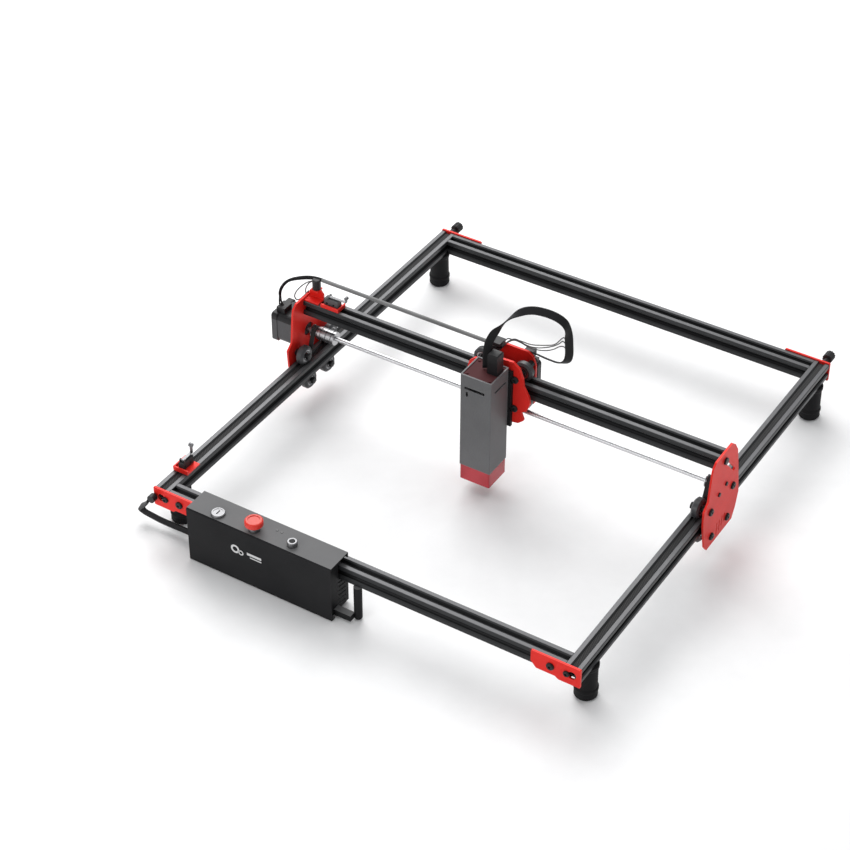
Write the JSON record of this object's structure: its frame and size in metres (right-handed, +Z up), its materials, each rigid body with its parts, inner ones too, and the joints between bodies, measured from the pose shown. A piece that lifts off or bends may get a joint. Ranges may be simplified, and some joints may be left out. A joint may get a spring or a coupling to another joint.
{
  "type": "desktop laser cutter",
  "caption": "Open-frame desktop laser cutter: slotted profile frame on feet, belt-driven gantry, carriage with a diode laser head, and a control box.",
  "frame": {"origin": "centre of the footprint at bench level, measured without the two loose leads", "axes": "+X to the right along the gantry beam, +Y from the control box towards the back, +Z up"},
  "size_m": [0.6216, 0.6856, 0.2607],
  "materials": {
    "black_metal": "black anodised extrusion, fine matt grain",
    "red_metal": "red anodised plate",
    "steel": "zinc plated screws, spacers and shaft",
    "box_metal": "black powder coated sheet",
    "grey_metal": "grey anodised housing",
    "cover_metal": "dark maroon-grey top plate",
    "motor_black": "black stepper motor with laminated core",
    "black_plastic": "black moulded plastic",
    "wheel_plastic": "dark V-wheel with a pale bearing",
    "belt_rubber": "toothed rubber belt",
    "foot_rubber": "black rubber-like foot",
    "cable_jacket": "black cable jacket",
    "knob_plastic": "black knurled knob on a metal stem",
    "red_plastic": "red moulded push head",
    "chrome": "bright plated bezels",
    "circuit": "green circuit board with black parts",
    "sink_metal": "bare finned heatsink",
    "shield_glass": "translucent red light shield",
    "lens_metal": "brass-coloured lens barrel"
  },
  "bodies": {
    "base": {"rail_left": "black_metal", "rail_right": "black_metal", "profile_front": "black_metal", "profile_back": "black_metal", "feet": "foot_rubber", "corner_plates": "red_metal", "frame_screws": "steel", "y_belts": "belt_rubber", "control_cover": "box_metal", "control_chassis": "box_metal", "control_board": "circuit", "switch_bezels": "chrome", "box_stay": "box_metal", "box_lead": "cable_jacket", "y_switch": "black_plastic"},
    "left_tensioner": {"tension_knob_left": "knob_plastic"},
    "right_tensioner": {"tension_knob_right": "knob_plastic"},
    "key": {"key_rotor": "chrome"},
    "stop": {"stop_head": "red_plastic"},
    "power": {"power_button": "chrome"},
    "y_lever": {"y_switch_lever": "chrome"},
    "gantry": {"gantry_plate_left": "red_metal", "gantry_plate_right": "red_metal", "x_beam": "black_metal", "shaft_bearing": "steel", "gantry_screws": "steel", "y_motor": "motor_black", "gantry_belts": "belt_rubber", "beam_brackets": "red_metal", "beam_fittings": "black_plastic", "trunk_cable": "cable_jacket"},
    "drive_shaft": {"cross_shaft": "steel"},
    "x_lever": {"x_switch_lever": "chrome"},
    "carriage": {"carriage_front_plate": "red_metal", "carriage_back_plate": "red_metal", "carriage_screws": "steel", "x_motor": "motor_black", "x_belt_loop": "belt_rubber", "focus_rail": "black_metal", "laser_ribbon": "cable_jacket"},
    "x_drive": {"x_pulley": "steel"},
    "laser": {"laser_housing": "grey_metal", "laser_cover": "cover_metal", "laser_heatsink": "sink_metal", "lens_barrel": "lens_metal", "laser_shield": "shield_glass"},
    "fan": {"laser_fan": "black_plastic"},
    "focus": {"focus_screw": "black_plastic"},
    "y_wheel_left_1": {"y_wheel_left_1": "wheel_plastic"},
    "y_wheel_left_2": {"y_wheel_left_2": "wheel_plastic"},
    "y_wheel_left_3": {"y_wheel_left_3": "wheel_plastic"},
    "y_wheel_left_4": {"y_wheel_left_4": "wheel_plastic"},
    "y_wheel_right_1": {"y_wheel_right_1": "wheel_plastic"},
    "y_wheel_right_2": {"y_wheel_right_2": "wheel_plastic"},
    "y_wheel_right_3": {"y_wheel_right_3": "wheel_plastic"},
    "y_wheel_right_4": {"y_wheel_right_4": "wheel_plastic"},
    "x_wheel_1": {"x_wheel_1": "wheel_plastic"},
    "x_wheel_2": {"x_wheel_2": "wheel_plastic"},
    "x_wheel_3": {"x_wheel_3": "wheel_plastic"},
    "x_wheel_4": {"x_wheel_4": "wheel_plastic"}
  },
  "joints": [
    {"name": "gantry_slide", "type": "slide", "parent": "base", "child": "gantry", "axis": [0, 1, 0], "range_m": [-0.205, 0.215]},
    {"name": "carriage_slide", "type": "slide", "parent": "gantry", "child": "carriage", "axis": [1, 0, 0], "range_m": [-0.18, 0.22]},
    {"name": "laser_height", "type": "slide", "parent": "carriage", "child": "laser", "axis": [0, 0, 1], "range_m": [-0.012, 0.025], "deforming": ["laser_ribbon"]},
    {"name": "shaft_turn", "type": "hinge", "parent": "gantry", "child": "drive_shaft", "pos_m": [-0.25735, -0.00075, 0.098], "axis": [1, 0, 0], "range_deg": [-1940, 1940]},
    {"name": "y_wheel_left_1_roll", "type": "hinge", "parent": "gantry", "child": "y_wheel_left_1", "pos_m": [-0.25735, -0.02925, 0.0797], "axis": [1, 0, 0], "range_deg": [-1110, 1110]},
    {"name": "y_wheel_left_2_roll", "type": "hinge", "parent": "gantry", "child": "y_wheel_left_2", "pos_m": [-0.25735, 0.02775, 0.0797], "axis": [1, 0, 0], "range_deg": [-1110, 1110]},
    {"name": "y_wheel_left_3_roll", "type": "hinge", "parent": "gantry", "child": "y_wheel_left_3", "pos_m": [-0.25735, -0.02125, 0.0373], "axis": [1, 0, 0], "range_deg": [-1110, 1110]},
    {"name": "y_wheel_left_4_roll", "type": "hinge", "parent": "gantry", "child": "y_wheel_left_4", "pos_m": [-0.25735, 0.01975, 0.0373], "axis": [1, 0, 0], "range_deg": [-1110, 1110]},
    {"name": "y_wheel_right_1_roll", "type": "hinge", "parent": "gantry", "child": "y_wheel_right_1", "pos_m": [0.29265, -0.02925, 0.0797], "axis": [1, 0, 0], "range_deg": [-1110, 1110]},
    {"name": "y_wheel_right_2_roll", "type": "hinge", "parent": "gantry", "child": "y_wheel_right_2", "pos_m": [0.29265, 0.02775, 0.0797], "axis": [1, 0, 0], "range_deg": [-1110, 1110]},
    {"name": "y_wheel_right_3_roll", "type": "hinge", "parent": "gantry", "child": "y_wheel_right_3", "pos_m": [0.29265, -0.02125, 0.0373], "axis": [1, 0, 0], "range_deg": [-1110, 1110]},
    {"name": "y_wheel_right_4_roll", "type": "hinge", "parent": "gantry", "child": "y_wheel_right_4", "pos_m": [0.29265, 0.01975, 0.0373], "axis": [1, 0, 0], "range_deg": [-1110, 1110]},
    {"name": "x_pulley_turn", "type": "hinge", "parent": "carriage", "child": "x_drive", "pos_m": [0.01465, -0.00075, 0.1149], "axis": [0, 1, 0], "range_deg": [-1980, 1980]},
    {"name": "x_wheel_1_roll", "type": "hinge", "parent": "carriage", "child": "x_wheel_1", "pos_m": [-0.01285, -0.00075, 0.1573], "axis": [0, 1, 0], "range_deg": [-1140, 1140]},
    {"name": "x_wheel_2_roll", "type": "hinge", "parent": "carriage", "child": "x_wheel_2", "pos_m": [0.04215, -0.00075, 0.1573], "axis": [0, 1, 0], "range_deg": [-1140, 1140]},
    {"name": "x_wheel_3_roll", "type": "hinge", "parent": "carriage", "child": "x_wheel_3", "pos_m": [-0.01285, -0.00075, 0.1149], "axis": [0, 1, 0], "range_deg": [-1140, 1140]},
    {"name": "x_wheel_4_roll", "type": "hinge", "parent": "carriage", "child": "x_wheel_4", "pos_m": [0.04215, -0.00075, 0.1149], "axis": [0, 1, 0], "range_deg": [-1140, 1140]},
    {"name": "stop_press", "type": "slide", "parent": "base", "child": "stop", "axis": [0, 0, 1], "range_m": [-0.002, 0], "stiffness_N_per_m": 900},
    {"name": "power_press", "type": "slide", "parent": "base", "child": "power", "axis": [0, 0, 1], "range_m": [-0.0015, 0], "stiffness_N_per_m": 600},
    {"name": "key_turn", "type": "hinge", "parent": "base", "child": "key", "pos_m": [-0.16785, -0.33155, 0.079], "axis": [0, 0, -1], "range_deg": [0, 90]},
    {"name": "left_tension_turn", "type": "hinge", "parent": "base", "child": "left_tensioner", "pos_m": [-0.25735, 0.32125, 0.063], "axis": [0, 1, 0], "continuous": true},
    {"name": "right_tension_turn", "type": "hinge", "parent": "base", "child": "right_tensioner", "pos_m": [0.29265, 0.32125, 0.063], "axis": [0, 1, 0], "continuous": true},
    {"name": "y_lever_press", "type": "hinge", "parent": "base", "child": "y_lever", "pos_m": [-0.25785, -0.27975, 0.0834], "axis": [1, 0, 0], "range_deg": [-5, 0], "stiffness_Nm_per_rad": 0.02},
    {"name": "x_lever_press", "type": "hinge", "parent": "gantry", "child": "x_lever", "pos_m": [-0.23535, -0.00125, 0.1605], "axis": [0, 1, 0], "range_deg": [0, 5], "stiffness_Nm_per_rad": 0.02},
    {"name": "fan_spin", "type": "hinge", "parent": "laser", "child": "fan", "pos_m": [0.01465, -0.04625, 0.1595], "axis": [0, 0, 1], "continuous": true},
    {"name": "focus_turn", "type": "hinge", "parent": "laser", "child": "focus", "pos_m": [-0.01235, -0.03225, 0.1285], "axis": [1, 0, 0], "continuous": true}
  ],
  "couplings": [
    {"joint": "shaft_turn", "follows": "gantry_slide", "rad_per_m": 156.25},
    {"joint": "y_wheel_left_1_roll", "follows": "gantry_slide", "rad_per_m": -89.286},
    {"joint": "y_wheel_left_2_roll", "follows": "gantry_slide", "rad_per_m": -89.286},
    {"joint": "y_wheel_left_3_roll", "follows": "gantry_slide", "rad_per_m": 89.286},
    {"joint": "y_wheel_left_4_roll", "follows": "gantry_slide", "rad_per_m": 89.286},
    {"joint": "y_wheel_right_1_roll", "follows": "gantry_slide", "rad_per_m": -89.286},
    {"joint": "y_wheel_right_2_roll", "follows": "gantry_slide", "rad_per_m": -89.286},
    {"joint": "y_wheel_right_3_roll", "follows": "gantry_slide", "rad_per_m": 89.286},
    {"joint": "y_wheel_right_4_roll", "follows": "gantry_slide", "rad_per_m": 89.286},
    {"joint": "x_pulley_turn", "follows": "carriage_slide", "rad_per_m": 156.25},
    {"joint": "x_wheel_1_roll", "follows": "carriage_slide", "rad_per_m": 89.286},
    {"joint": "x_wheel_2_roll", "follows": "carriage_slide", "rad_per_m": 89.286},
    {"joint": "x_wheel_3_roll", "follows": "carriage_slide", "rad_per_m": -89.286},
    {"joint": "x_wheel_4_roll", "follows": "carriage_slide", "rad_per_m": -89.286}
  ]
}
